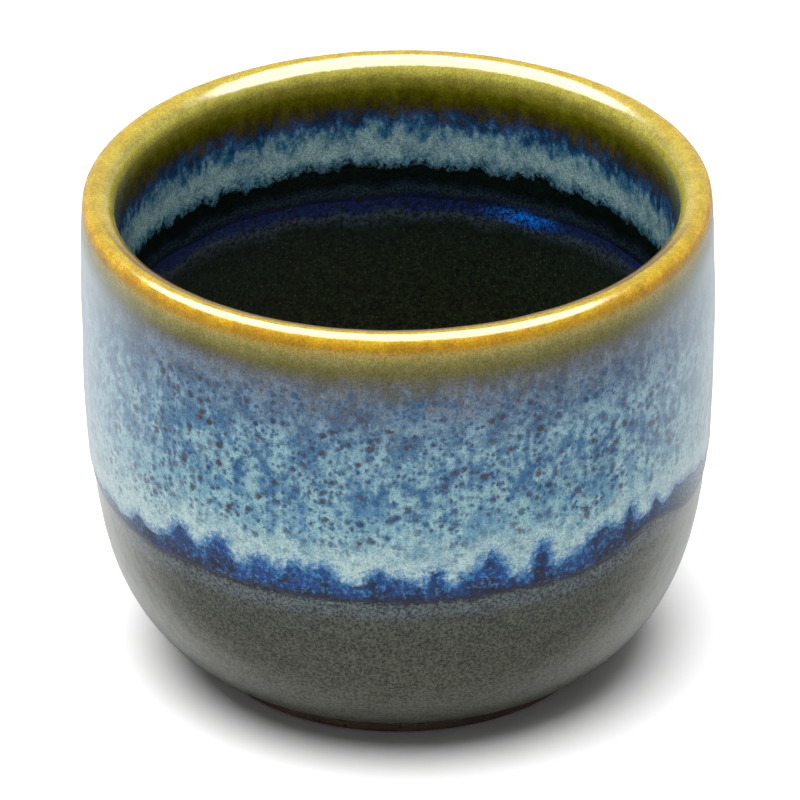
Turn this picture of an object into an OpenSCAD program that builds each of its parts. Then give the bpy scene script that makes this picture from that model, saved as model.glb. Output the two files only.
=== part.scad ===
// Guinomi, a small stoneware sake cup, with each coat of glaze as its own solid.
// The foot stands on z = 0 and the cup's axis is Z. Lengths are in millimetres.

/* [Cup] */
// Height of the glazed cup from the table to the crest of its lip
height = 50; // [44:0.5:60]
// Widest radius of the glazed wall
belly_r = 31; // [28:0.5:36]
// Height of the widest ring
belly_z = 39.5; // [34:0.5:42]
// Outer radius of the glazed lip
lip_r = 30.7; // [27.5:0.1:36]
// Radius of the glazed lip's rounding outside
lip_out = 1.15; // [0.9:0.05:1.8]
// Radius of the glazed lip's rounding inside
lip_in = 2; // [1:0.05:3]
// Thickness of the glazed wall at its widest ring
belly_thick = 3.3; // [2.6:0.1:5]
// How squarely the wall drops before it turns in
wall_bend = 4.2; // [3:0.1:6]
// How sharply the wall turns under to the foot
under_bend = 1.4; // [1.2:0.05:2]

/* [Foot] */
// Outer radius of the clay foot ring
foot_r = 19.7; // [16:0.1:22]
// Height of the foot ring outside
foot_h = 2.2; // [1.8:0.1:3.5]
// Width of the foot ring at the table
foot_wall = 3.3; // [2.5:0.1:5]
// Depth of the trimmed hollow inside the foot ring
foot_hollow = 1.7; // [1:0.1:2.2]
// How far the hollow's floor rises to its middle
foot_dome = 0.5; // [0:0.1:1]
// Radius of the fillet where the wall meets the foot ring
foot_fillet = 0.8; // [0.6:0.1:1.2]
// Bevel on both edges of the foot ring
foot_bevel = 0.4; // [0.2:0.1:0.6]

/* [Well] */
// Height of the well's glazed floor above the table
well_floor = 6.6; // [5.5:0.1:9]
// Height where the well's wall starts to round into its floor
well_corner = 20; // [16:0.5:24]
// How much the well's wall narrows from the widest ring to its floor
well_lean = 1.7; // [0:0.1:4]
// How squarely the well's wall turns into its floor
corner_bend = 2.6; // [2:0.1:4]

/* [Glaze] */
// Thickness of the charcoal base glaze
base_t = 0.3; // [0.2:0.01:0.4]
// Thickness of the cobalt glaze
cobalt_t = 0.12; // [0.08:0.01:0.2]
// Thickness of the speckled blue glaze and of the rim glaze
run_t = 0.16; // [0.1:0.01:0.2]
// Height where the base glaze was wiped off the foot ring
wipe_z = 0.8; // [0.6:0.1:1]
// Height of the outer dip line of the cobalt glaze
dip_z = 21.4; // [16:0.1:26]
// Gap from the outer dip line up to the longest drip
drip_gap = 0.8; // [0.4:0.1:2]
// Depth of the rim glaze outside, from the crest
rim_out = 5.4; // [3:0.1:8]
// Depth of the rim glaze inside, from the crest
rim_in = 5.5; // [3:0.1:7]
// Depth of the cobalt glaze inside, from the crest
cobalt_in = 16; // [14:0.1:20]
// Depth of the longest drip inside, from the crest
drip_in = 12.6; // [10:0.1:13]

/* [Drips] */
// Number of notches in the outer drip edge
notch_count = 46; // [24:1:60]
// Height of the tallest notch outside
notch_h = 4.2; // [2:0.1:6]
// Number of notches in the inner drip edge
well_notch_count = 40; // [24:1:50]
// Height of the tallest notch inside
well_notch_h = 1.9; // [1:0.1:3]

/* [Hidden] */
$fn = 180;

// Coats, as heights above the clay
cobalt_top = base_t + cobalt_t;
run_top = cobalt_top + run_t;

// The clay surface, inside the coats
crest_r = lip_r - lip_out;
lip_z = height - lip_out;
lip_in_z = height - lip_in;
clay_lip_r = lip_r - run_top;
clay_lip_in_r = crest_r - lip_in + run_top;
clay_belly_r = belly_r - run_top;
clay_wall = belly_thick - 2 * run_top;
clay_lip_wall = wall_r(lip_in_z) - clay_lip_in_r;
clay_floor = well_floor - base_t;
root_r = foot_r + foot_fillet;

// The outer drips' lowest tip, and a ring just over their tallest notch
notch_room = 0.6;
drip_z = dip_z + drip_gap;
notch_top_z = drip_z + notch_h + notch_room;

// Points along each stretch of the clay surface
fillet_steps = 5;
under_steps = 20;
wall_steps = 7;
shoulder_steps = 3;
lip_steps = 8;
corner_steps = 18;

// Places of the coats' edges along that surface
at_root = fillet_steps + 1;
at_dip = at_root + under_steps;
at_drip = at_dip + 1;
at_rim_out = at_drip + 1 + wall_steps;
at_crest = at_rim_out + shoulder_steps + lip_steps;
at_rim_in = at_crest + lip_steps + 1;
at_drip_in = at_rim_in + 1;
at_cobalt_in = at_drip_in + 1;
at_middle = at_cobalt_in + 1 + corner_steps;

// Radius of the clay's outer wall at height z
function wall_r(z) = z > belly_z
    ? clay_belly_r + (clay_lip_r - clay_belly_r) * pow((z - belly_z) / (lip_z - belly_z), 2)
    : root_r + (clay_belly_r - root_r)
        * pow(1 - pow((belly_z - z) / (belly_z - foot_h), wall_bend), 1 / under_bend);

// Radius of the clay's inner wall at height z
function well_r(z) = z > belly_z
    ? wall_r(z) - clay_wall + (clay_wall - clay_lip_wall) * (z - belly_z) / (lip_in_z - belly_z)
    : corner_share(z)
        * (clay_belly_r - clay_wall - well_lean * (belly_z - z) / (belly_z - clay_floor));
function corner_share(z) = z > well_corner
    ? 1
    : pow(1 - pow((well_corner - z) / (well_corner - clay_floor), corner_bend), 1 / corner_bend);

// Heights from low to high, without the last, evenly spaced or crowded towards low
function even(low, high, steps) = [for (i = [0 : steps - 1]) low + (high - low) * i / steps];
function crowded(low, high, steps) =
    [for (i = [0 : steps - 1]) low + (high - low) * (1 - cos(90 * i / steps))];
function arc(mid, r, from, to, steps) =
    [for (i = [0 : steps]) let (a = from + (to - from) * i / steps) mid + r * [cos(a), sin(a)]];

// The clay surface from the foot, up the wall, over the lip and down the well
wall_heights = concat(
    crowded(foot_h, dip_z, under_steps),
    [dip_z, drip_z],
    even(notch_top_z, height - rim_out, wall_steps),
    even(height - rim_out, lip_z, shoulder_steps)
);
well_heights = concat(
    [lip_in_z, height - rim_in, height - drip_in, height - cobalt_in],
    [for (i = [0 : corner_steps]) well_corner - (well_corner - clay_floor) * sin(90 * i / corner_steps)]
);
fillet = arc([root_r, foot_h - foot_fillet], foot_fillet, 180, 90, fillet_steps);
lip_outside = arc([crest_r, lip_z], lip_out - run_top, 0, 90, lip_steps);
lip_inside = arc([crest_r, lip_in_z], lip_in - run_top, 90, 180, lip_steps);
surface = concat(
    [[foot_r, wipe_z]],
    [for (i = [0 : fillet_steps - 1]) fillet[i]],
    [for (z = wall_heights) [wall_r(z), z]],
    [for (i = [0 : lip_steps - 1]) lip_outside[i]],
    [for (i = [0 : lip_steps - 1]) lip_inside[i]],
    [for (z = well_heights) [well_r(z), z]]
);

// Direction straight out of the clay at a place along its surface
function square_to(step) = [step.y, -step.x] / norm(step);
function out_of(i) = i == 0
    ? [1, 0]
    : i == at_middle ? [0, 1] : square_to(surface[i + 1] - surface[i - 1]);
function above(i, t) = surface[i] + t * out_of(i);

// A coat between two heights above the clay, from one place on its surface to another
module coat(first, last, low, high) {
    rotate_extrude()
        polygon(concat(
            [for (i = [first : last]) above(i, high)],
            [for (i = [last : -1 : first]) above(i, low)]
        ));
}

// Sizes of the notches between drips, as shares of the pitch and of the tallest notch
width_shares = [1.15, 0.7, 0.95, 1.3, 0.6, 1.05, 0.8];
height_shares = [0.55, 0.85, 0.4, 1, 0.6, 0.3, 0.75, 0.5, 0.95, 0.35, 0.65];
shift_shares = [0, 0.25, -0.2, 0.1, -0.3];
notch_taper = 1.7;
notch_steps = 8;
cut_depth = 4;
overrun = 0.5;

// One notch between two drips, with its foot at the origin, cut along +X
module notch(wide, tall) {
    rotate([90, 0, 90])
        linear_extrude(cut_depth)
            polygon(concat(
                [[wide / 2, -overrun], [-wide / 2, -overrun]],
                [for (i = [0 : notch_steps]) let (u = 2 * i / notch_steps - 1)
                    [u * wide / 2, tall * (1 - pow(abs(u), notch_taper))]]
            ));
}

// A ring of notches of uneven size at height z, round a wall of radius r
module notches(count, tall, r, z) {
    pitch = 360 / count;
    for (i = [0 : count - 1])
        rotate((i + shift_shares[i % len(shift_shares)]) * pitch)
            translate([r - cut_depth / 2, 0, z])
                notch(
                    width_shares[i % len(width_shares)] * 2 * r * sin(pitch / 2),
                    height_shares[i % len(height_shares)] * tall
                );
}

// Thrown and trimmed stoneware, with its foot ring
module clay_body() {
    inner_r = foot_r - foot_wall;
    color("#6f625a")
        rotate_extrude()
            polygon(concat(
                surface,
                [
                    [0, foot_hollow + foot_dome],
                    for (i = [1 : fillet_steps]) let (u = i / fillet_steps)
                        [(inner_r - foot_fillet) * u, foot_hollow + foot_dome * (1 - u * u)],
                ],
                arc([inner_r - foot_fillet, foot_hollow - foot_fillet], foot_fillet, 90, 0, fillet_steps),
                [
                    [inner_r, foot_bevel],
                    [inner_r + foot_bevel, 0],
                    [foot_r - foot_bevel, 0],
                    [foot_r, foot_bevel],
                ]
            ));
}

// Satin charcoal glaze on the wall and foot
module base_glaze_outside() {
    color("#4c4c46") coat(0, at_crest, 0, base_t);
}

// Satin charcoal glaze lining the well
module base_glaze_inside() {
    color("#15191a") coat(at_crest, at_middle, 0, base_t);
}

// Dark cobalt glaze from the dip line to the crest
module cobalt_glaze_outside() {
    color("#16305f") coat(at_dip, at_crest, base_t, cobalt_top);
}

// Dark cobalt glaze from the crest down into the well
module cobalt_glaze_inside() {
    color("#0f2345") coat(at_crest, at_cobalt_in, base_t, cobalt_top);
}

// Speckled blue glaze that ran down the wall in drips
module blue_glaze_outside() {
    color("#7d9fc4")
        difference() {
            coat(at_drip, at_rim_out, cobalt_top, run_top);
            notches(notch_count, notch_h, wall_r(drip_z), drip_z);
        }
}

// Pale blue glaze that ran down inside in short drips
module blue_glaze_inside() {
    color("#8fb0c0")
        difference() {
            coat(at_rim_in, at_drip_in, cobalt_top, run_top);
            notches(well_notch_count, well_notch_h, well_r(height - drip_in), height - drip_in);
        }
}

// Amber and olive glaze over the lip
module rim_glaze() {
    color("#b79a2e") coat(at_rim_out, at_rim_in, cobalt_top, run_top);
}

clay_body();
base_glaze_outside();
base_glaze_inside();
cobalt_glaze_outside();
cobalt_glaze_inside();
blue_glaze_outside();
blue_glaze_inside();
rim_glaze();
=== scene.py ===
"""A guinomi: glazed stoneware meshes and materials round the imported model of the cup."""

import math

import bmesh
import bpy
import numpy as np
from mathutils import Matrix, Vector


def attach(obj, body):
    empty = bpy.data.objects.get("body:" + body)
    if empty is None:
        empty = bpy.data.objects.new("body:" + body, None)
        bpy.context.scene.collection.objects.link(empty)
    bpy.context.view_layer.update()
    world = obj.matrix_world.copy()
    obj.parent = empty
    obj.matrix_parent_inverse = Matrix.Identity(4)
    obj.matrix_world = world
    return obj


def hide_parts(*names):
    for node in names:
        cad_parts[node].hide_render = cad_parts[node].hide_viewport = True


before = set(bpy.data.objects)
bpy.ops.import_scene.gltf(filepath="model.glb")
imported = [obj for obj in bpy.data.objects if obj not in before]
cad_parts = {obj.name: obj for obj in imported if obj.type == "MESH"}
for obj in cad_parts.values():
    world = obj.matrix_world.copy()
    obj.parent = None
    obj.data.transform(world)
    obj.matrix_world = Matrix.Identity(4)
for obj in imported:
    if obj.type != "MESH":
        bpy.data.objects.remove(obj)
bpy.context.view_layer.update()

MM = 0.001
TURN = 2 * math.pi
SEED = 41

# The clay's profile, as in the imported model
HEIGHT = 50 * MM
BELLY_R = 31 * MM
BELLY_Z = 39.5 * MM
BELLY_THICK = 3.3 * MM
LIP_R = 30.7 * MM
LIP_OUT = 1.15 * MM
LIP_IN = 2 * MM
WALL_BEND = 4.2
UNDER_BEND = 1.4
FOOT_R = 19.7 * MM
FOOT_H = 2.2 * MM
FOOT_WALL = 3.3 * MM
FOOT_HOLLOW = 1.7 * MM
FOOT_DOME = 0.5 * MM
FOOT_FILLET = 0.8 * MM
FOOT_BEVEL = 0.4 * MM
WELL_FLOOR = 6.6 * MM
WELL_CORNER = 20 * MM
WELL_LEAN = 1.7 * MM
CORNER_BEND = 2.6

# The coats: thicknesses, and where their edges run
BASE_T = 0.3 * MM
COBALT_T = 0.12 * MM
RUN_T = 0.16 * MM
COBALT_TOP = BASE_T + COBALT_T
RUN_TOP = COBALT_TOP + RUN_T
WIPE_Z = 0.8 * MM
DIP_Z = 21.4 * MM
RIM_OUT_Z = HEIGHT - 5.4 * MM
RIM_IN_Z = HEIGHT - 5.5 * MM
COBALT_IN_Z = HEIGHT - 16 * MM
DRIP_IN_Z = HEIGHT - 12.6 * MM
SINK = 0.03 * MM

# Points on the clay's line under the lip's crest
CREST_R = LIP_R - LIP_OUT
LIP_Z = HEIGHT - LIP_OUT
LIP_IN_Z = HEIGHT - LIP_IN
CLAY_LIP_OUT = LIP_OUT - RUN_TOP
CLAY_LIP_IN = LIP_IN - RUN_TOP
CLAY_LIP_R = LIP_R - RUN_TOP
CLAY_BELLY_R = BELLY_R - RUN_TOP
CLAY_WALL = BELLY_THICK - 2 * RUN_TOP
CLAY_FLOOR = WELL_FLOOR - BASE_T
ROOT_R = FOOT_R + FOOT_FILLET

# Fineness of the meshes
LINE_STEP = 0.04 * MM
RUN_COLUMNS = 840
COBALT_COLUMNS = 720
BASE_COLUMNS = 560
WELL_COLUMNS = 520
CLAY_COLUMNS = 360
BLUE_OUT_ROWS = 86
BLUE_IN_ROWS = 60
COBALT_ROWS = 44
BASE_ROWS = 96
FOOT_STEP = 0.18 * MM
CROWDING = 1.25
BACK_STRIDE = 4
ANGLES = 3600
SAME_POINT = MM / 1000
SHARP_ANGLE = math.radians(55)

# The drip line in front, read from left to right: angle in degrees, and height over the dip line in mm
TIPS = (
    (-92, 0.5), (-83, 0.3), (-76, 0.4), (-68, 0.8), (-60, 0.3), (-48, 1.5), (-38, 2.2), (-29, 1.25),
    (-22.5, 1.8), (-16, 2.5), (-8, 0.9), (-2, 2.1), (1, 2.2), (4, 1.1), (9, 1.2), (21, 1.2), (30.5, 1.3),
    (35, 2.4), (39, 3.7), (45, 3.2), (51, 2.7), (58, 3.0), (66, 3.1), (73, 2.3), (81, 1.4), (90, 1.0),
)
# Notches between those drips: angle in degrees, height in mm, width in degrees
NOTCHES = (
    (-56.2, 1.2, 3), (-43.6, 1.7, 3.4), (-34.6, 1.8, 3.4), (-25.8, 1.0, 4.4), (-19.6, 0.9, 2.4),
    (-13.6, 1.1, 2.4), (-4.2, 1.3, 2.4), (6.4, 1.7, 2.2), (14.4, 1.2, 5), (17.3, 2.4, 3.4),
    (26.4, 3.0, 2.4), (46.4, 1.6, 1.4), (54, 0.9, 2), (61, 0.5, 2),
)
NOTCH_BEND = 2.6
# Random drips: ranges of a tip's height, of a notch's shift, height and width, and of the step between two
BACK_DRIPS = {
    "tip": (0.9, 4.2), "shift": (-3, 3), "tall": (0.5, 2.8), "wide": (1.8, 4.5), "step": (4.5, 11),
}
INNER_DRIPS = {
    "tip": (-0.2, 0.1), "shift": (-2, 2), "tall": (0.1, 0.7), "wide": (2.5, 7), "step": (4, 9),
}

# The outer dip line: its sag and raggedness, and the height, angle and width in degrees of its one climb
DIP_SAG = 0.45 * MM
DIP_RAGGED = 0.12 * MM
CLIMB = 1.8 * MM
CLIMB_AT = 54
CLIMB_WIDTH = 12

# Unevenness of the thrown wall, the pooled and pitted coats, and the trimmed foot
SWAY = 0.05 * MM
SWAY_FADE = 8 * MM
NOD = 0.07 * MM
NOD_FROM = 40 * MM
RUN_POOLING = 0.012 * MM
COBALT_POOLING = 0.006 * MM
PITS_OUTSIDE = 0.008 * MM
PITS_INSIDE = 0.006 * MM
TRIMMING = 0.05 * MM
TRIMMING_STEP = 1.25 * MM
TRIMMING_GRIT = 0.02 * MM

# Rounded edges of the coats, and the bead that stands along the outer drips
ROLL = 0.5 * MM
LONG_ROLL = 2.6 * MM
BEAD = 0.04 * MM
BEAD_IN = 0.7 * MM
BEAD_WIDTH = 0.5 * MM
FAR_FROM_DRIPS = 20 * MM


def ripples(seed, count, across, along):
    """A smooth random field of unit strength over (angle, height), with features of these sizes."""
    rng = np.random.default_rng(SEED + seed)
    turns = np.round(rng.normal(0, TURN * BELLY_R / across / 2, count))
    rises = rng.normal(0, math.pi / along, count)
    phases = rng.uniform(0, TURN, count)

    def field(angle, place):
        total = 0
        for turn, rise, phase in zip(turns, rises, phases):
            total = total + np.cos(turn * angle + rise * place + phase)
        return total * math.sqrt(2 / count)

    return field


THROWING = ripples(1, 24, 60 * MM, 9 * MM)
POOLING = ripples(2, 60, 5 * MM, 6 * MM)
PITTING = ripples(3, 80, 1.6 * MM, 1.6 * MM)
LIP_SWAY = ripples(4, 12, 50 * MM, 400 * MM)


def wall_r(z):
    """Radius of the clay's outer wall at height z."""
    rise = np.maximum(z - BELLY_Z, 0) / (LIP_Z - BELLY_Z)
    drop = np.clip((BELLY_Z - z) / (BELLY_Z - FOOT_H), 0, 1)
    low = ROOT_R + (CLAY_BELLY_R - ROOT_R) * (1 - drop**WALL_BEND) ** (1 / UNDER_BEND)
    return low + (CLAY_LIP_R - CLAY_BELLY_R) * rise**2


def well_r(z):
    """Radius of the clay's inner wall at height z."""
    rise = (z - BELLY_Z) / (LIP_IN_Z - BELLY_Z)
    lip_wall = wall_r(LIP_IN_Z) - CREST_R + CLAY_LIP_IN
    high = wall_r(z) - CLAY_WALL + (CLAY_WALL - lip_wall) * rise
    corner = np.clip((WELL_CORNER - z) / (WELL_CORNER - CLAY_FLOOR), 0, 1)
    lean = WELL_LEAN * (BELLY_Z - z) / (BELLY_Z - CLAY_FLOOR)
    low = (1 - corner**CORNER_BEND) ** (1 / CORNER_BEND) * (CLAY_BELLY_R - CLAY_WALL - lean)
    return np.where(z > BELLY_Z, high, low)


def arc(middle, radius, start, end, count=60):
    """Points (radius, height) on an arc between two angles in degrees."""
    turn = np.radians(np.linspace(start, end, count))
    return np.stack([middle[0] + radius * np.cos(turn), middle[1] + radius * np.sin(turn)], 1)


def evened(line, step):
    """The same line with its points a step apart, and the distance along it of each."""
    lengths = np.concatenate([[0], np.cumsum(np.hypot(*np.diff(line, axis=0).T))])
    keep = np.concatenate([[True], np.diff(lengths) > 0])
    places = np.linspace(0, lengths[-1], int(lengths[-1] / step) + 1)
    points = [np.interp(places, lengths[keep], line[keep, axis]) for axis in (0, 1)]
    return places, np.stack(points, 1)


class Line:
    """The clay's line under the glaze, from the wiped foot up, over the lip and down the well."""

    def __init__(self):
        climb = np.linspace(0, 1, 1500) ** 3
        outer_z = FOOT_H + (LIP_Z - FOOT_H) * climb
        fall = np.linspace(0, 1, 1500)
        inner_z = LIP_IN_Z + (WELL_CORNER - LIP_IN_Z) * fall
        floor_z = WELL_CORNER - (WELL_CORNER - CLAY_FLOOR) * np.sin(fall * math.pi / 2)
        parts = [
            [(FOOT_R, WIPE_Z)],
            arc((ROOT_R, FOOT_H - FOOT_FILLET), FOOT_FILLET, 180, 90),
            np.stack([wall_r(outer_z), outer_z], 1),
            arc((CREST_R, LIP_Z), CLAY_LIP_OUT, 0, 90),
            arc((CREST_R, LIP_IN_Z), CLAY_LIP_IN, 90, 180),
            np.stack([well_r(inner_z), inner_z], 1),
            np.stack([well_r(floor_z), floor_z], 1),
        ]
        self.places, points = evened(np.concatenate(parts), LINE_STEP)
        self.r, self.z = points.T
        self.crest = int(np.argmax(self.z))
        self.end = self.places[-1]
        out = np.stack([np.gradient(self.z), -np.gradient(self.r)], 1)
        blur = np.hanning(9) / np.hanning(9).sum()
        for axis in (0, 1):
            out[4:-4, axis] = np.convolve(out[:, axis], blur, "valid")
        out /= np.linalg.norm(out, axis=1)[:, None]
        self.out_r, self.out_z = out.T

    def outside(self, z):
        """Distance along the line to height z on the outer wall."""
        return np.interp(z, self.z[: self.crest], self.places[: self.crest])

    def inside(self, z):
        """Distance along the line to height z on the well's wall."""
        return np.interp(-z, -self.z[self.crest :], self.places[self.crest :])

    def fallen(self, place):
        """Distance down the glazed surface from the crest: above zero outside, below zero inside."""
        past = self.places[self.crest] - place
        clay = np.where(past > 0, CLAY_LIP_OUT, CLAY_LIP_IN) * math.pi / 2
        glaze = np.where(past > 0, LIP_OUT, LIP_IN) * math.pi / 2
        beyond = np.sign(past) * (np.abs(past) - clay + glaze)
        return np.where(np.abs(past) < clay, past * glaze / clay, beyond)

    def at(self, place, values):
        """Values along the line, at other places."""
        return np.interp(place, self.places, values)

    def surface(self, angle, place, lift):
        """Points at a lift over the clay, with the sway of a thrown cup."""
        r, z = self.at(place, self.r), self.at(place, self.z)
        fade = np.clip((z - FOOT_H) / SWAY_FADE, 0, 1) * np.clip(r / BELLY_R, 0, 1)
        sway = SWAY * THROWING(angle, z) * fade
        nod = NOD * LIP_SWAY(angle, z) * np.clip((z - NOD_FROM) / (HEIGHT - NOD_FROM), 0, 1)
        out_r, out_z = self.at(place, self.out_r), self.at(place, self.out_z)
        return spun(angle, r + lift * out_r + sway, z + lift * out_z + nod)


def spun(angle, r, z):
    """Points at an angle to the right of the front, a radius and a height."""
    return np.stack([r * np.sin(angle), -r * np.cos(angle), z + 0 * angle], -1)


def ring_angles(columns):
    """Even angles round the cup."""
    return np.linspace(0, TURN, columns, endpoint=False)


def grid(columns, rows):
    """Angles and rows as two arrays of the same shape. The rows may already depend on the angle."""
    place = np.broadcast_to(rows if rows.ndim == 2 else rows[:, None], (len(rows), columns))
    return np.broadcast_to(ring_angles(columns), place.shape), place


def steps(*stops):
    """Rows between places, from (place, step) pairs that end with a bare place."""
    rows = []
    for (start, step), (end, _) in zip(stops, stops[1:]):
        rows.append(np.linspace(start, end, max(2, round((end - start) / step)), endpoint=False))
    rows.append([stops[-1][0]])
    return np.concatenate(rows)


def stacked(columns, *parts):
    """Rows of a grid, from parts that are level and parts that depend on the angle."""
    return np.concatenate([grid(columns, part)[1] for part in parts])


def solid(name, rings, open_after, layers):
    """A closed mesh from rings of points. Ring open_after, at the axis, isn't joined to the next."""
    rows, columns = rings.shape[:2]
    index = np.arange(rows * columns).reshape(rows, columns)
    right = np.roll(index, -1, axis=1)
    strips = np.stack([index, right, np.roll(right, -1, axis=0), np.roll(index, -1, axis=0)], -1)
    kept = [row for row in range(rows) if row != open_after]
    mesh = bpy.data.meshes.new(name)
    mesh.from_pydata(rings.reshape(-1, 3), [], strips[kept].reshape(-1, 4).tolist())
    for layer, values in layers.items():
        data = mesh.attributes.new(layer, "FLOAT", "POINT").data
        data.foreach_set("value", values.astype(np.float32).ravel())
    if open_after is not None:
        work = bmesh.new()
        work.from_mesh(mesh)
        bmesh.ops.remove_doubles(work, verts=work.verts, dist=SAME_POINT)
        work.to_mesh(mesh)
        work.free()
    mesh.shade_smooth()
    mesh.set_sharp_from_angle(angle=SHARP_ANGLE)
    piece = bpy.data.objects.new(name, mesh)
    bpy.context.scene.collection.objects.link(piece)
    return piece


def dressed(piece, node, material):
    """The piece rides on the cup, stands for its node and takes its material."""
    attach(piece, "root")
    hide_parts(node)
    piece.data.materials.append(material)


def coat(name, angle, place, under, top, share, layers, open_after=None):
    """A coat of glaze: its face rises to a share of its top, and its back is sunk into what is below."""
    face = LINE.surface(angle, place, under + (top - under) * share)
    last = len(place) - 1
    picked = np.unique(np.append(np.arange(0, last + 1, BACK_STRIDE), last))[::-1]
    back = LINE.surface(angle[picked], place[picked], under)
    both = {layer: np.concatenate([values, values[picked]]) for layer, values in layers.items()}
    return solid(name, np.concatenate([face, back]), open_after, both)


def rolled(depth, width):
    """Share of a coat's full height at a distance in from its rounded edge."""
    return np.sqrt(1 - (1 - np.clip(depth / width, 0, 1)) ** 2)


def feathered(depth, width):
    """Share of a coat's full height at a distance in from its thin edge."""
    share = np.clip(depth / width, 0, 1)
    return share * share * (3 - 2 * share)


def wander(seed, count, size, angle):
    """A smooth random line of unit strength round the cup, with features of a size."""
    return ripples(seed, count, size, MM)(angle, 0)


def random_drips(seed, start, end, ranges):
    """Tips and notches of a random run of drips between two angles in degrees."""
    rng = np.random.default_rng(SEED + seed)
    tips, notches, angle = [], [], start
    while angle < end:
        tips.append((angle, rng.uniform(*ranges["tip"])))
        shift, tall, wide = (rng.uniform(*ranges[part]) for part in ("shift", "tall", "wide"))
        notches.append((angle + shift, tall, wide))
        angle += rng.uniform(*ranges["step"])
    return tips, notches


def jagged(tips, notches, seed):
    """A line of drips on an even ring of angles: through their tips, with notches and raggedness."""
    degrees = np.linspace(0, 360, ANGLES, endpoint=False)
    tips = np.array(sorted((angle % 360, height) for angle, height in tips))
    height = np.interp(degrees, tips[:, 0], tips[:, 1], period=360)
    blur = np.hanning(31) / np.hanning(31).sum()
    height = np.convolve(np.concatenate([height[-15:], height, height[:15]]), blur, "valid")
    for middle, tall, wide in notches:
        off = np.abs((degrees - middle + 180) % 360 - 180) / (wide / 2)
        height += tall * np.exp(-(off**NOTCH_BEND) * math.log(2))
    angle = np.radians(degrees)
    height += 0.12 * wander(seed, 50, 1.6 * MM, angle) + 0.05 * wander(seed + 1, 50, 0.7 * MM, angle)
    return height * MM


def drip_heights():
    """Height of the outer drip line over the dip line: drawn from the listed drips in front, random
    behind.
    """
    start, end = TIPS[-1][0] + 7, 360 + TIPS[0][0] - 4
    tips, notches = random_drips(7, start, end, BACK_DRIPS)
    return jagged([*TIPS, *tips], [*NOTCHES, *notches], 8)


def well_drip_heights():
    """Height of the inner drip line over its longest drip."""
    return jagged(*random_drips(11, 0, 356, INNER_DRIPS), 12)


def around(ring, angle):
    """Values of an even ring of angles, at other angles."""
    return np.interp(angle % TURN, ring_angles(len(ring)), ring, period=TURN)


def from_edge(angle, place, edge_at):
    """Distance of each grid point from an edge that runs round at edge_at(angle), in metres."""
    reach, fine = 20, 4
    turn = TURN / angle.shape[1]
    best = np.full(place.shape, np.inf)
    for shift in range(-reach * fine, reach * fine + 1):
        off = shift * turn / fine
        edge = edge_at(angle[0] + off)
        best = np.minimum(best, (off * BELLY_R) ** 2 + (place - edge) ** 2)
    return np.sqrt(best)


LINE = Line()
DRIPS = drip_heights()
WELL_DRIPS = well_drip_heights()


def dip_height(angle):
    """Height of the outer dip line. It sags a little, most at the sides, and climbs once at the right."""
    degrees = (np.degrees(angle) + 180) % 360 - 180
    climb = CLIMB * np.exp(-(((degrees - CLIMB_AT) / CLIMB_WIDTH) ** 2))
    sag = DIP_SAG * (1 + np.sin(angle) ** 2)
    return DIP_Z + climb - sag + DIP_RAGGED * wander(21, 30, 9 * MM, angle)


def drip_line_z(angle):
    """Height of the outer drip line. Its drips are measured from the level dip line."""
    return np.maximum(DIP_Z + around(DRIPS, angle), dip_height(angle) + 0.5 * MM)


def drip_edge(angle):
    """Place of the outer drip line along the clay's line."""
    return LINE.outside(drip_line_z(angle))


def well_drip_edge(angle):
    """Place of the inner drip line along the clay's line."""
    return LINE.inside(DRIP_IN_Z + around(WELL_DRIPS, angle))


def run_coat(name, angle, place, depth, share, bead=0):
    """A coat of the overglaze. Its colours follow the depth in from the drips' edge."""
    top = RUN_TOP + RUN_POOLING * POOLING(angle, place) + bead
    layers = {"fallen": LINE.fallen(place) / MM, "edge": depth / MM}
    return coat(name, angle, place, COBALT_TOP - SINK, top, share, layers)


def blue_outside():
    """The speckled blue glaze outside, from its drips up to the rim's."""
    up = np.linspace(0, 1, BLUE_OUT_ROWS)[:, None] ** CROWDING
    edge = drip_edge(ring_angles(RUN_COLUMNS))
    angle, place = grid(RUN_COLUMNS, edge + (LINE.outside(RIM_OUT_Z) - edge) * up)
    depth = from_edge(angle, place, drip_edge)
    bead = BEAD * np.exp(-(((depth - BEAD_IN) / BEAD_WIDTH) ** 2))
    share = 0.4 * rolled(depth, ROLL) + 0.6 * rolled(depth, LONG_ROLL)
    return run_coat("blue_glaze_run_outside", angle, place, depth, share, bead)


def blue_inside():
    """The pale blue glaze inside, from the rim's down to its short drips."""
    down = 1 - np.linspace(1, 0, BLUE_IN_ROWS)[:, None] ** CROWDING
    top = LINE.inside(RIM_IN_Z)
    edge = well_drip_edge(ring_angles(RUN_COLUMNS))
    angle, place = grid(RUN_COLUMNS, top + (edge - top) * down)
    depth = from_edge(angle, place, well_drip_edge)
    return run_coat("blue_glaze_run_inside", angle, place, depth, rolled(depth, ROLL))


def rim():
    """The amber and olive glaze over the lip."""
    rows = steps((LINE.outside(RIM_OUT_Z), 0.12 * MM), (LINE.inside(RIM_IN_Z), None))
    angle, place = grid(RUN_COLUMNS, rows)
    return run_coat("rim_glaze_roll", angle, place, np.full(place.shape, FAR_FROM_DRIPS), 1)


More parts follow.
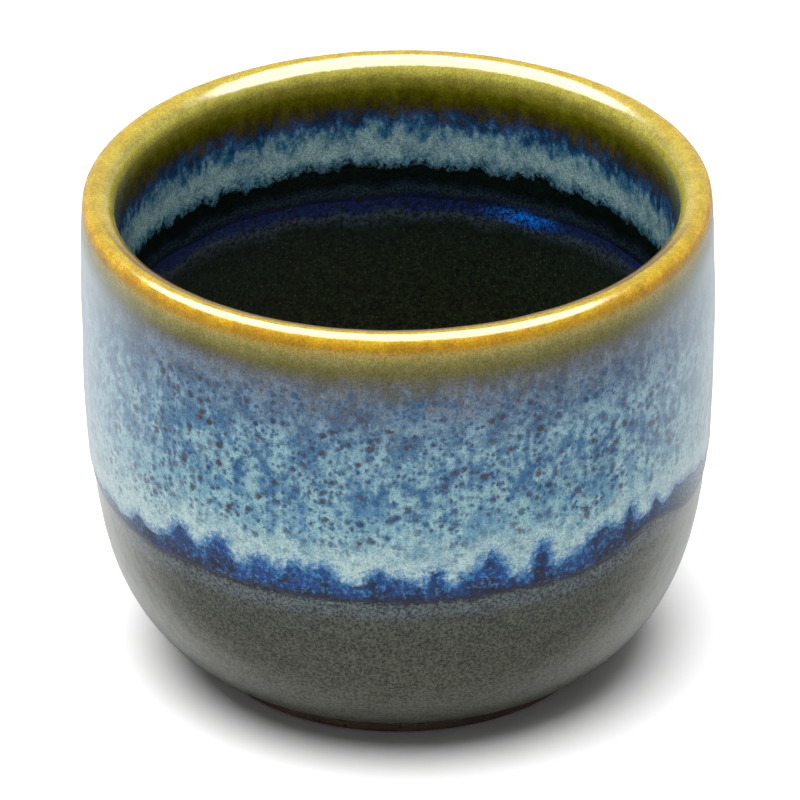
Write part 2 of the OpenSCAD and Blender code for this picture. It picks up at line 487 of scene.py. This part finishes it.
def cobalt_outside():
    """The cobalt glaze outside, from the dip line to the crest."""
    edge = LINE.outside(dip_height(ring_angles(COBALT_COLUMNS)))
    hidden = LINE.outside(DIP_Z + 7.5 * MM)
    seen = edge + (hidden - edge) * np.linspace(0, 1, COBALT_ROWS, endpoint=False)[:, None]
    rest = steps((hidden, 0.45 * MM), (LINE.places[LINE.crest], None))
    angle, place = grid(COBALT_COLUMNS, stacked(COBALT_COLUMNS, seen, rest))
    top = COBALT_TOP + COBALT_POOLING * POOLING(angle, place) * (place < hidden)
    share = feathered(place - edge, 0.7 * MM)
    under = (drip_edge(angle[0]) - place) / MM
    layers = {"above": (place - edge) / MM, "under": under, "well": 0 * place}
    return coat("cobalt_glaze_band_outside", angle, place, BASE_T - SINK, top, share, layers)


def cobalt_inside():
    """The cobalt glaze inside, from the crest to its dip line in the well."""
    sway = 0.1 * MM * wander(22, 30, 12 * MM, ring_angles(COBALT_COLUMNS))
    edge = LINE.inside(COBALT_IN_Z + sway)
    hidden = LINE.inside(DRIP_IN_Z + 3 * MM)
    seen = hidden + (edge - hidden) * np.linspace(0, 1, COBALT_ROWS)[:, None]
    rest = steps((LINE.places[LINE.crest], 0.3 * MM), (hidden, None))[:-1]
    angle, place = grid(COBALT_COLUMNS, stacked(COBALT_COLUMNS, rest, seen))
    share = feathered(edge - place, MM)
    under = (place - well_drip_edge(angle[0])) / MM
    layers = {"above": (edge - place) / MM, "under": under, "well": 0 * place + 1}
    return coat("cobalt_glaze_band_inside", angle, place, BASE_T - SINK, COBALT_TOP, share, layers)


def base_outside():
    """The charcoal base glaze outside, from the wiped foot to the crest."""
    wiped = 0.12 * MM * (1.5 + wander(23, 40, 5 * MM, ring_angles(BASE_COLUMNS)))
    start = np.clip(wiped, 0, 0.5 * MM)
    hidden = LINE.outside(DIP_Z + 6 * MM)
    up = np.linspace(0, 1, BASE_ROWS, endpoint=False)[:, None] ** 1.15
    rest = steps((hidden, 0.6 * MM), (LINE.places[LINE.crest], None))
    angle, place = grid(BASE_COLUMNS, stacked(BASE_COLUMNS, start + (hidden - start) * up, rest))
    top = BASE_T + PITS_OUTSIDE * PITTING(angle, place) * (place < hidden)
    share = rolled(place - start, ROLL)
    layers = {"below": (LINE.outside(dip_height(angle[0])) - place) / MM}
    return coat("charcoal_glaze_outside", angle, place, -SINK, top, share, layers)


def base_inside():
    """The dark base glaze inside, from the crest to the middle of the well's floor."""
    seen = LINE.inside(DRIP_IN_Z + MM)
    rows = steps((LINE.places[LINE.crest], 0.5 * MM), (seen, 0.45 * MM), (LINE.end, None))
    angle, place = grid(WELL_COLUMNS, rows)
    fade = np.clip((LINE.end - place - 12 * MM) / (10 * MM), 0, 1)
    top = BASE_T + PITS_INSIDE * PITTING(angle, place) * fade * (place > seen)
    layers = {"fallen": LINE.fallen(place) / MM}
    return coat("well_glaze_lining", angle, place, -SINK, top, 1, layers, open_after=len(rows) - 1)


def clay():
    """The fired clay, with a trimming spiral in the hollow of its foot."""
    inner = FOOT_R - FOOT_WALL
    rise = np.linspace(0, 1, 30)
    hollow_r = (inner - FOOT_FILLET) * rise
    parts = [
        np.stack([hollow_r, FOOT_HOLLOW + FOOT_DOME * (1 - rise**2)], 1),
        arc((inner - FOOT_FILLET, FOOT_HOLLOW - FOOT_FILLET), FOOT_FILLET, 90, 0),
        [(inner, FOOT_BEVEL)],
        arc((inner + FOOT_BEVEL, FOOT_BEVEL), FOOT_BEVEL, 180, 270, 12),
        arc((FOOT_R - FOOT_BEVEL, FOOT_BEVEL), FOOT_BEVEL, 270, 360, 12),
        [(FOOT_R, WIPE_Z)],
    ]
    _, foot = evened(np.concatenate(parts), FOOT_STEP)
    angle, r = grid(CLAY_COLUMNS, foot[:, 0])
    _, z = grid(CLAY_COLUMNS, foot[:, 1])
    cut = np.clip(z / (0.5 * MM), 0, 1) * np.clip((FOOT_R - r) / (2 * MM), 0, 1)
    spiral = TRIMMING * np.sin(TURN * r / TRIMMING_STEP + angle) + TRIMMING_GRIT * PITTING(angle, r)
    bottom = spun(angle, r, z + cut * spiral)
    rows = steps((0.1 * MM, 0.8 * MM), (LINE.end, None))
    covered = LINE.surface(*grid(CLAY_COLUMNS, rows), 0)
    rings = np.concatenate([bottom, covered])
    return solid("clay_body_fired", rings, len(rings) - 1, {})


class Shader:
    """The node graph of a material or of the sky. Each method adds a node and gives its output."""

    def __init__(self, owner, output="ShaderNodeOutputMaterial"):
        owner.use_nodes = True
        self.owner = owner
        self.nodes = owner.node_tree.nodes
        self.links = owner.node_tree.links
        self.nodes.clear()
        self.output = self.nodes.new(output)
        self.places = self.nodes.new("ShaderNodeTexCoord").outputs

    def add(self, kind, inputs, **settings):
        """A new node of a kind, with values or links on its inputs."""
        node = self.nodes.new(kind)
        for key, value in settings.items():
            setattr(node, key, value)
        for key, value in inputs.items():
            if isinstance(value, bpy.types.NodeSocket):
                self.links.new(value, node.inputs[key])
            else:
                node.inputs[key].default_value = value
        return node

    def math(self, operation, a, b=0.0):
        """A sum or another operation on two levels."""
        return self.add("ShaderNodeMath", {0: a, 1: b}, operation=operation).outputs[0]

    def times(self, a, b):
        """One level times another."""
        return self.math("MULTIPLY", a, b)

    def plus(self, a, b):
        """One level added to another."""
        return self.math("ADD", a, b)

    def vector(self, operation, a, b=(0, 0, 0)):
        """The same kind of operation, on two vectors."""
        return self.add("ShaderNodeVectorMath", {0: a, 1: b}, operation=operation).outputs[0]

    def axis(self, name, point):
        """One axis of a point or a direction."""
        return self.add("ShaderNodeSeparateXYZ", {0: point}).outputs[name]

    def attribute(self, name):
        """A level that the mesh carries at its points."""
        return self.add("ShaderNodeAttribute", {}, attribute_name=name).outputs["Fac"]

    def stretched(self, x, y, z):
        """Object coordinates in millimetres, times a stretch on each axis."""
        return self.vector("MULTIPLY", self.places["Object"], (x / MM, y / MM, z / MM))

    def noise(self, point, size, detail=2.0, rough=0.5, warp=0.0):
        """Noise from 0 to 1 with features of a size in millimetres."""
        inputs = {"Vector": point, "Scale": 1 / size, "Detail": detail, "Roughness": rough}
        return self.add("ShaderNodeTexNoise", inputs | {"Distortion": warp}).outputs[0]

    def warped(self, point, size, reach):
        """Points pushed about by noise, in millimetres."""
        inputs = {"Vector": point, "Scale": 1 / size, "Detail": 1.0}
        push = self.add("ShaderNodeTexNoise", inputs).outputs["Color"]
        centred = self.vector("SUBTRACT", push, (0.5, 0.5, 0.5))
        return self.vector("ADD", point, self.vector("MULTIPLY", centred, (reach, reach, reach)))

    def cells(self, point, size):
        """Distance from the nearest of scattered points, in shares of the size, and its random value."""
        node = self.add("ShaderNodeTexVoronoi", {"Vector": point, "Scale": 1 / size})
        chance = self.add("ShaderNodeSeparateColor", {"Color": node.outputs["Color"]}).outputs[0]
        return node.outputs["Distance"], chance

    def remap(self, value, low, high, to_low=0.0, to_high=1.0):
        """A smooth step between two levels, as the value goes from low to high."""
        inputs = {"Value": value, "From Min": low, "From Max": high, "To Min": to_low, "To Max": to_high}
        return self.add("ShaderNodeMapRange", inputs, interpolation_type="SMOOTHSTEP").outputs[0]

    def ramp(self, value, stops):
        """Colours at values from low to high."""
        low, high = stops[0][0], stops[-1][0]
        inputs = {"Value": value, "From Min": low, "From Max": high}
        share = self.add("ShaderNodeMapRange", inputs).outputs[0]
        node = self.add("ShaderNodeValToRGB", {0: share})
        elements = node.color_ramp.elements
        for number, (place, colour) in enumerate(stops):
            at = (place - low) / (high - low)
            element = elements[number] if number < 2 else elements.new(at)
            element.position = at
            element.color = linear(colour)
        return node.outputs[0]

    def mix(self, share, a, b, blend="MIX"):
        """Colour a, changed towards colour b by a share."""
        inputs = {0: share, 6: linear(a), 7: linear(b)}
        return self.add("ShaderNodeMix", inputs, data_type="RGBA", blend_type=blend).outputs[2]

    def grainy(self, share, colour, grain, spread, most=0.9):
        """A colour made lighter and darker by a grain, which spreads round a half."""
        level = self.remap(grain, 0.5 - spread, 0.5 + spread, 1 - most, most)
        return self.mix(share, colour, level, "OVERLAY")

    def torn(self, point, level, size, reach):
        """A level pushed up and down by ragged noise."""
        rag = self.remap(self.noise(point, size, 4.0, 0.75), 0.3, 0.7, -reach, reach)
        return self.plus(level, rag)

    def bump(self, height, distance):
        """A normal that follows a height."""
        return self.add("ShaderNodeBump", {"Height": height, "Distance": distance}).outputs[0]

    def sideways(self):
        """The level direction from the cup's axis to the point."""
        return self.vector("NORMALIZE", self.vector("MULTIPLY", self.places["Object"], (1, 1, 0)))

    def painted_sheen(self, colour, pale, low, most, amount=1.0, **weight):
        """A colour made paler as the surface turns aside, but not where it turns down: a painted glancing
        reflection of the white surroundings.
        """
        facing = self.add("ShaderNodeLayerWeight", {"Blend": 0.5, **weight}).outputs["Facing"]
        normal = self.add("ShaderNodeNewGeometry", {}).outputs["Normal"]
        upright = self.remap(self.axis("Z", normal), -0.7, -0.2)
        share = self.times(self.remap(facing, low, 1.04, 0.0, most), upright)
        return self.mix(self.times(share, amount), colour, pale)

    def finish(self, kind, inputs):
        """Ends the graph with a node of a kind, and gives what it belongs to."""
        self.links.new(self.add(kind, inputs).outputs[0], self.output.inputs[0])
        return self.owner

    def fired(self, colour, normal, rough, ior):
        """The finished material of glaze or clay."""
        inputs = {"Base Color": colour, "Roughness": rough, "IOR": ior, "Normal": normal}
        return self.finish("ShaderNodeBsdfPrincipled", inputs)


def material(name):
    """The empty node graph of a new material."""
    return Shader(bpy.data.materials.new(name))


def linear(colour):
    """A hex colour, or a level, as linear RGBA. Sockets pass through."""
    if isinstance(colour, bpy.types.NodeSocket):
        return colour
    if isinstance(colour, (int, float)):
        return (colour, colour, colour, 1)
    parts = [int(colour[i : i + 2], 16) / 255 for i in (1, 3, 5)]
    return tuple(p / 12.92 if p <= 0.04045 else ((p + 0.055) / 1.055) ** 2.4 for p in parts) + (1,)


# Colours down the overglaze from the crest, in mm: above zero outside, below zero inside
DEEP = (
    (-13.6, "#1f4658"), (-12.4, "#44708a"), (-10.9, "#7c9ca4"), (-9.4, "#2f7094"), (-8.1, "#173e68"),
    (-7.2, "#242e44"), (-6.5, "#37342a"), (-5.6, "#464000"), (-4.5, "#605f00"), (-3.6, "#9a9030"),
    (-3.0, "#aca346"), (-2.3, "#aa9f30"), (-1.5, "#94862f"), (-0.7, "#a28c24"), (0.1, "#9a800a"),
    (0.6, "#a08400"), (1.2, "#b48a00"), (1.7, "#b28400"), (2.1, "#a47800"), (2.7, "#9c8a40"),
    (3.4, "#7a7338"), (4.5, "#5f5c24"), (5.8, "#54554a"), (7.1, "#575d60"), (9.8, "#485c76"),
    (13, "#4b7391"), (18, "#316490"), (21.8, "#6697b0"), (25.2, "#7ca4b0"), (28.7, "#7ca4b0"),
)
PALE = (
    (-13.6, "#5f8ba2"), (-12.4, "#82a4ae"), (-10.9, "#9cbcc0"), (-9.4, "#86aab4"), (-8.1, "#2c5f94"),
    (-7.2, "#3a4660"), (-6.5, "#474338"), (-5.6, "#544e0c"), (-4.5, "#747410"), (-3.6, "#aea43c"),
    (-3.0, "#bcb456"), (-2.3, "#b8ad42"), (-1.5, "#a4983f"), (-0.7, "#ae9a30"), (0.1, "#aa9018"),
    (0.6, "#b29610"), (1.2, "#d4a80c"), (1.7, "#c89a00"), (2.1, "#b48800"), (2.7, "#a8944e"),
    (3.4, "#887f46"), (4.5, "#696330"), (5.8, "#606162"), (7.1, "#6d7884"), (9.8, "#6a859a"),
    (13, "#89aebb"), (18, "#8cb2ba"), (21.8, "#90b8bf"), (25.2, "#b4cece"), (28.7, "#bcd4d0"),
)
# Painted reflection: pale colours that the glazes turn towards at their outline, for the white
# surroundings seen at a glancing angle
PAINTED_BLUE_SHEEN = "#d6e6ec"
PAINTED_GREY_SHEEN = "#dcdeda"
RUST = "#c07e00"
# Painted shade, brown on the lip's inner shoulder in front
PAINTED_SHADE_BROWN = "#5a3e00"
AZURE = "#2c6ca6"
WELL_FRINGE = "#2a5a70"
UNDER_WELL_DRIPS = "#050f0e"
SPECK_NAVY = "#143458"
SPECK_BROWN = "#4a3418"
HALO_BLUE = "#2a6494"
# Sets of specks: offset, cell size, share of cells, smallest and largest radius in cells, and darkness
SPECKS = ((0.0, 0.9, 0.7, 0.14, 0.42, 0.92), (31.0, 0.5, 0.5, 0.16, 0.4, 0.7))
# Cobalt outside, by depth under the drips, and inside, by height over its dip line, in mm
COBALT_OUTSIDE = (
    (-0.8, "#3c84b2"), (0.0, "#26669e"), (0.6, "#184680"), (1.2, "#183e74"), (1.9, "#1a3058"),
    (4, "#211f32"),
)
COBALT_INSIDE = (
    (0.0, "#02143c"), (0.4, "#04163a"), (0.9, "#14222c"), (1.3, "#1a2832"), (1.9, "#0b1620"),
    (2.5, "#020a08"), (4.4, "#061614"),
)
COBALT_BLUE = "#14448c"
COBALT_LIGHT = "#3f7ca8"
COBALT_NIGHT = "#111a38"
COBALT_LAST = "#1c2030"
# Painted shade on the outer cobalt at the left and right sides
COBALT_PAINTED_SIDE_SHADE = "#1f2638"
CRUMBS = "#6c8296"
# Where the cobalt shines brightest in the well, in mm, and how its patch is squeezed
WELL_GLOW = (13.0, 24.6, 33.7)
GLOW_SQUEEZE = (0.65, 1.0, 3.0)
GLOW_BLUE = "#0060c0"
# Charcoal by depth under the dip line, and the well's lining by distance down from the crest, in mm
CHARCOAL = (
    (-1, "#4c5860"), (0.4, "#525b5e"), (1.4, "#4d565a"), (2.3, "#43483f"), (5, "#42453a"), (9, "#484a3e"),
    (13, "#4e5046"), (24, "#484a40"),
)
CHARCOAL_CLOUD = "#30332a"
CHARCOAL_FIRST = "#1d2230"
WELL = (
    (-60, "#161d0e"), (-30, "#171f0d"), (-22.6, "#0f1a0b"), (-19.9, "#07150c"), (-19.1, "#1a262a"),
    (-18.5, "#29333c"), (-17.9, "#081e44"), (-17.2, "#021646"), (-15, "#08142e"),
)
WELL_DUST = "#545c44"
CLAY = ((0.3, "#64543f"), (0.5, "#524236"), (0.7, "#3f332b"))
CLAY_PORES = "#3c3029"
CLAY_IRON = "#2a1f1a"
GLAZE_IOR = 1.42
WELL_IOR = 1.2
CLAY_IOR = 1.45


def glowing(s, point, mottle, colour):
    """A colour in the well, with the blue patch."""
    off = s.vector("MULTIPLY", s.vector("SUBTRACT", point, WELL_GLOW), GLOW_SQUEEZE)
    off = s.add("ShaderNodeVectorMath", {0: off}, operation="LENGTH").outputs["Value"]
    glow = s.times(s.remap(off, 4.2, 0.4), s.remap(mottle, 0.3, 0.62))
    return s.mix(glow, colour, GLOW_BLUE)


def cobalt_outside_colour(s, point, depth):
    """Cobalt glaze at a depth in mm under the outer drips: azure at first, then navy, with blotches."""
    mottle = s.noise(point, 0.55, 3.0, 0.7)
    patch = s.noise(point, 1.5, 2.0, 0.5, 0.4)
    drift = s.plus(depth, s.remap(mottle, 0.35, 0.65, 0.9, -0.9))
    colour = s.ramp(drift, COBALT_OUTSIDE)
    colour = s.mix(s.times(s.remap(patch, 0.5, 0.62), 0.6), colour, COBALT_BLUE)
    colour = s.mix(s.times(s.remap(mottle, 0.51, 0.64), 0.7), colour, COBALT_LIGHT)
    return s.mix(s.times(s.remap(patch, 0.46, 0.36), 0.7), colour, COBALT_NIGHT)


def cobalt_inside_colour(s, point, above):
    """Cobalt glaze in the well at a height in mm over its dip line: almost black, with a grey arc."""
    mottle = s.noise(point, 0.26, 3.0, 0.8)
    sway = s.noise(point, 3.0, 3.0, 0.6)
    drift = s.plus(above, s.remap(sway, 0.25, 0.75, -0.5, 0.5))
    colour = glowing(s, point, mottle, s.ramp(drift, COBALT_INSIDE))
    return s.grainy(0.9, colour, mottle, 0.14)


def mottled(s, point, fallen, edge):
    """The overglaze's own colours, amber, then olive, then patches of blue and cream, and a painted shade
    that browns the lip's inner shoulder in front.
    """
    streaked = s.stretched(1, 1, 0.75)
    fine = s.noise(s.warped(streaked, 0.5, 0.25), 0.8, 2.0, 0.6)
    cloud = s.noise(streaked, 2.1, 2.0, 0.55, 0.4)
    drift = s.noise(s.stretched(1, 1, 0.6), 0.9, 3.0, 0.65)
    reach = s.remap(s.math("ABSOLUTE", fallen), 4.4, 7.2, 0.06, 1.0)
    swing = s.times(s.remap(drift, 0.25, 0.75, -1.1, 1.1), reach)
    across = s.axis("X", point)
    lean = s.plus(s.remap(across, -7, -22, 0.0, 1.4), s.remap(across, 10, 24, 0.0, 0.5))
    lean = s.times(lean, s.remap(fallen, 4.0, 6.4))
    sloped = s.plus(s.plus(fallen, swing), lean)
    patches = s.plus(s.times(fine, 0.4), s.times(cloud, 0.6))
    cream = s.times(s.remap(edge, 3.4, 1.2), 0.55)
    share = s.remap(patches, 0.38, 0.6)
    share = s.plus(s.times(share, s.math("SUBTRACT", 1.0, cream)), cream)
    colour = s.mix(share, s.ramp(sloped, DEEP), s.ramp(sloped, PALE))
    amber = s.times(s.remap(fallen, 0.5, 0.9), s.remap(fallen, 2.6, 1.9))
    rusty = s.times(amber, s.remap(s.noise(point, 2.6, 2.0), 0.5, 0.66))
    colour = s.mix(s.times(rusty, 0.45), colour, RUST)
    # Painted shade: the lip's inner shoulder darkened to brown on the front side only
    shoulder = s.times(s.remap(fallen, 0.05, -0.3), s.remap(fallen, -5.0, -3.5))
    painted_front_shade = s.times(shoulder, s.remap(s.axis("Y", point), -3, -16))
    return s.mix(s.times(painted_front_shade, 0.95), colour, PAINTED_SHADE_BROWN)


def speckled(s, point, fallen, edge, colour):
    """A colour with the dark specks that run through the blue, each in a soft blue halo."""
    outside = s.times(s.remap(fallen, 5.0, 9.0), s.remap(edge, 0.6, 4.5))
    crowd = s.remap(s.noise(point, 3.0, 2.0), 0.35, 0.6, 0.5, 1.0)
    amount = s.times(outside, crowd)
    tone = s.mix(s.remap(s.noise(point, 1.6, 1.0), 0.38, 0.52), SPECK_NAVY, SPECK_BROWN)
    for offset, size, common, small, large, dark in SPECKS:
        moved = s.vector("ADD", point, (offset, offset, offset))
        far, chance = s.cells(s.warped(moved, 0.22, 0.34), size)
        chosen = s.times(s.remap(chance, 0.99 - common, 1 - common), amount)
        beyond = s.math("SUBTRACT", far, s.remap(chance, 1 - common, 1.0, small, large))
        halo = s.times(s.remap(beyond, 0.42, 0.0), chosen)
        core = s.times(s.remap(beyond, 0.17, -0.15), chosen)
        colour = s.mix(s.times(halo, 0.62), colour, HALO_BLUE)
        colour = s.mix(s.times(core, dark), colour, tone)
    return colour


def fringed(s, point, edge, well, colour):
    """A colour that melts into the cobalt at the drips' edge, over a longer way in the well."""
    steep = s.math("SUBTRACT", 1.0, s.times(well, 0.2))
    soft = s.torn(point, s.times(edge, steep), 0.6, 0.6)
    near = s.times(s.remap(soft, 1.5, 0.35), 0.8)
    colour = s.mix(near, colour, s.mix(well, AZURE, WELL_FRINGE))
    below = cobalt_outside_colour(s, point, s.times(edge, -1.0))
    under = s.mix(well, below, UNDER_WELL_DRIPS)
    gone = s.math("MAXIMUM", s.remap(soft, 0.6, -0.05), s.remap(edge, 0.22, 0.02))
    return s.mix(gone, colour, under)


def run_material(name):
    """The overglaze: amber on the lip, olive below it, then mottled and speckled blue."""
    s = material(name)
    fallen = s.attribute("fallen")
    edge = s.attribute("edge")
    point = s.stretched(1, 1, 1)
    colour = mottled(s, point, fallen, edge)
    colour = speckled(s, point, fallen, edge, colour)
    colour = fringed(s, point, edge, s.remap(fallen, 0.0, -1.0), colour)
    grain = s.noise(point, 0.2, 2.0, 0.8)
    coarse = s.remap(fallen, -5.0, -9.0, 0.35, 0.5)
    colour = s.grainy(coarse, colour, grain, 0.16)
    # Painted reflection: the outer blue made paler towards the outline
    colour = s.painted_sheen(colour, PAINTED_BLUE_SHEEN, 0.3, 0.8, s.remap(fallen, 1.0, 6.0), Normal=s.sideways())
    peel = s.noise(point, 1.3, 2.0, 0.5)
    normal = s.bump(s.plus(peel, s.times(grain, 0.1)), 0.03 * MM)
    return s.fired(colour, normal, 0.19, GLAZE_IOR)


def cobalt_material():
    """Cobalt glaze, with pale crumbs along its outer dip line."""
    s = material("cobalt_glaze")
    above = s.attribute("above")
    well = s.attribute("well")
    point = s.stretched(1, 1, 1)
    outside = cobalt_outside_colour(s, point, s.attribute("under"))
    crumbs, chance = s.cells(point, 0.55)
    dust = s.times(s.remap(crumbs, 0.32, 0.08), s.remap(chance, 0.7, 0.85))
    outside = s.mix(s.times(dust, s.remap(above, 0.8, 0.1)), outside, CRUMBS)
    last = s.torn(point, above, 0.45, 0.5)
    outside = s.mix(s.remap(last, 1.0, 0.3, 0.0, 0.7), outside, COBALT_LAST)
    # Painted shade: the outer cobalt darkened towards the left and right sides
    across = s.math("ABSOLUTE", s.axis("X", point))
    outside = s.mix(s.remap(across, 14.0, 25.0, 0.0, 0.5), outside, COBALT_PAINTED_SIDE_SHADE)
    # Painted reflection: the outer cobalt made paler towards the outline
    outside = s.painted_sheen(outside, PAINTED_BLUE_SHEEN, 0.45, 0.75, Normal=s.sideways())
    colour = s.mix(well, outside, cobalt_inside_colour(s, point, above))
    grain = s.noise(point, 0.2, 2.0, 0.8)
    colour = s.grainy(0.5, colour, grain, 0.2)
    normal = s.bump(s.noise(point, 0.5, 3.0, 0.6), 0.03 * MM)
    return s.fired(colour, normal, 0.2, GLAZE_IOR)


def charcoal_material():
    """Satin charcoal glaze: olive grey with a fine grain, bluer just under the dip line."""
    s = material("charcoal_glaze")
    below = s.attribute("below")
    point = s.stretched(1, 1, 1)
    grain = s.noise(point, 0.3, 3.0, 0.85)
    cloud = s.noise(s.stretched(1, 1, 2.2), 4.0, 3.0, 0.6)
    colour = s.ramp(below, CHARCOAL)
    colour = s.mix(s.remap(cloud, 0.45, 0.75, 0.0, 0.3), colour, CHARCOAL_CLOUD)
    first = s.torn(point, below, 0.45, 0.4)
    colour = s.mix(s.remap(first, 0.3, -0.1, 0.0, 0.9), colour, CHARCOAL_FIRST)
    colour = s.grainy(1.0, colour, grain, 0.14, 0.92)
    # Painted reflection: the charcoal made paler towards the outline
    colour = s.painted_sheen(colour, PAINTED_GREY_SHEEN, 0.42, 0.88)
    normal = s.bump(grain, 0.03 * MM)
    return s.fired(colour, normal, 0.4, GLAZE_IOR)


def well_material():
    """Near-black satin glaze in the well, with a lighter grey ring just under the cobalt."""
    s = material("well_glaze")
    fallen = s.attribute("fallen")
    point = s.stretched(1, 1, 1)
    grain = s.noise(point, 0.42, 3.0, 0.85)
    drift = s.plus(fallen, s.remap(s.noise(point, 5.0, 2.0), 0.3, 0.7, -0.5, 0.5))
    colour = glowing(s, point, grain, s.ramp(drift, WELL))
    colour = s.grainy(1.0, colour, grain, 0.16, 1.0)
    dust, chance = s.cells(point, 0.36)
    pale = s.times(s.remap(dust, 0.34, 0.1), s.remap(chance, 0.55, 0.8))
    colour = s.mix(s.times(pale, 0.42), colour, WELL_DUST)
    normal = s.bump(grain, 0.02 * MM)
    return s.fired(colour, normal, 0.5, WELL_IOR)


def clay_material():
    """Bare stoneware: toasted brown, gritty, darker in its pores."""
    s = material("clay")
    point = s.stretched(1, 1, 1)
    grit = s.noise(point, 0.22, 4.0, 0.75)
    toast = s.noise(point, 7.0, 3.0, 0.6)
    colour = s.ramp(toast, CLAY)
    colour = s.mix(s.remap(grit, 0.5, 0.8, 0.0, 0.6), colour, CLAY_PORES)
    specks, chance = s.cells(point, 1.3)
    iron = s.times(s.remap(specks, 0.2, 0.1), s.remap(chance, 0.6, 0.7))
    colour = s.mix(iron, colour, CLAY_IRON)
    normal = s.bump(grit, 0.09 * MM)
    return s.fired(colour, normal, 0.85, CLAY_IOR)


def make_cup():
    """Every piece of the cup, with its material."""
    cobalt = cobalt_material()
    blue = run_material("blue_glaze")
    dressed(clay(), "clay_body", clay_material())
    dressed(base_outside(), "base_glaze_outside", charcoal_material())
    dressed(base_inside(), "base_glaze_inside", well_material())
    dressed(cobalt_outside(), "cobalt_glaze_outside", cobalt)
    dressed(cobalt_inside(), "cobalt_glaze_inside", cobalt)
    dressed(blue_outside(), "blue_glaze_outside", blue)
    dressed(blue_inside(), "blue_glaze_inside", blue)
    dressed(rim(), "rim_glaze", run_material("rim_glaze"))


FLOOR_SIZE = 3.0
FLOOR_ALBEDO = 0.8
FLOOR_MIRRORED = 0.4
FLOOR_SHOWN = 1.14
LOW_SKY = 0.14
HIGH_SKY = 0.6
SKY_FROM = 0.7
SKY_TO = 0.95
LAMP_PLACE = (-0.08, -0.04, 0.75)
LAMP_SIZE = (1.0, 1.0)
LAMP_LEVEL = 4.6
GLINT_PLACE = (-0.02, -0.065, 0.7)
GLINT_SIZE = (2.1, 0.9)
GLINT_LEVEL = 24.0


def make_floor():
    """A plain pale floor that keeps the cup's shadow."""
    mesh = bpy.data.meshes.new("floor")
    half = FLOOR_SIZE / 2
    corners = [(-half, -half, 0), (half, -half, 0), (half, half, 0), (-half, half, 0)]
    mesh.from_pydata(corners, [], [(0, 1, 2, 3)])
    floor = bpy.data.objects.new("floor", mesh)
    bpy.context.scene.collection.objects.link(floor)
    s = material("floor")
    path = s.add("ShaderNodeLightPath", {}).outputs
    colour = s.mix(path["Is Glossy Ray"], FLOOR_ALBEDO, FLOOR_MIRRORED)
    colour = s.mix(path["Is Camera Ray"], colour, FLOOR_SHOWN)
    mesh.materials.append(s.finish("ShaderNodeBsdfDiffuse", {"Color": colour}))


def make_sky():
    """White surroundings, which light the cup only gently from low down."""
    s = Shader(bpy.data.worlds.new("studio"), "ShaderNodeOutputWorld")
    height = s.axis("Z", s.places["Generated"])
    lighting = s.remap(height, SKY_FROM, SKY_TO, LOW_SKY, HIGH_SKY)
    path = s.add("ShaderNodeLightPath", {}).outputs
    seen = s.math("MAXIMUM", path["Is Camera Ray"], path["Is Glossy Ray"])
    seen = s.math("MAXIMUM", seen, path["Is Transmission Ray"])
    level = s.add("ShaderNodeMix", {0: seen, 2: lighting, 3: 1.0}, data_type="FLOAT").outputs[0]
    white = {"Color": (1, 1, 1, 1), "Strength": level}
    bpy.context.scene.world = s.finish("ShaderNodeBackground", white)


def make_lamp(name, place, size, level):
    """An oval soft box that faces the cup, at a level of light given off by its face."""
    data = bpy.data.lights.new(name, "AREA")
    data.shape = "ELLIPSE"
    data.size, data.size_y = size
    data.energy = level * math.pi * math.pi * data.size * data.size_y / 4
    lamp = bpy.data.objects.new(name, data)
    lamp.location = place
    lamp.rotation_euler = Vector(place).to_track_quat("Z", "Y").to_euler()
    bpy.context.scene.collection.objects.link(lamp)
    return lamp


def make_light():
    """The sky, the soft box, and the glint that its bright face leaves in the glaze."""
    make_sky()
    make_lamp("soft_box", LAMP_PLACE, LAMP_SIZE, LAMP_LEVEL).visible_glossy = False
    make_lamp("soft_box_glint", GLINT_PLACE, GLINT_SIZE, GLINT_LEVEL).visible_diffuse = False


CAMERA_PLACE = (0, -0.7863, 0.4619)
CAMERA_AIM = (0.0001, 0, 0.02643)
CAMERA_ROLL = math.radians(-0.43)
CAMERA_LENS = 410.3


def make_camera():
    """The camera at the photograph's viewing angle."""
    data = bpy.data.cameras.new("camera")
    data.lens = CAMERA_LENS
    data.sensor_width = 36
    data.clip_start = 0.1
    data.clip_end = 10
    camera = bpy.data.objects.new("camera", data)
    camera.location = CAMERA_PLACE
    look = Vector(CAMERA_AIM) - Vector(CAMERA_PLACE)
    turn = look.to_track_quat("-Z", "Y").to_matrix()
    camera.rotation_euler = turn.to_euler()
    camera.rotation_euler.rotate_axis("Z", CAMERA_ROLL)
    bpy.context.scene.collection.objects.link(camera)
    bpy.context.scene.camera = camera


make_cup()
make_floor()
make_light()
make_camera()

bpy.context.scene.view_settings.view_transform = "Standard"
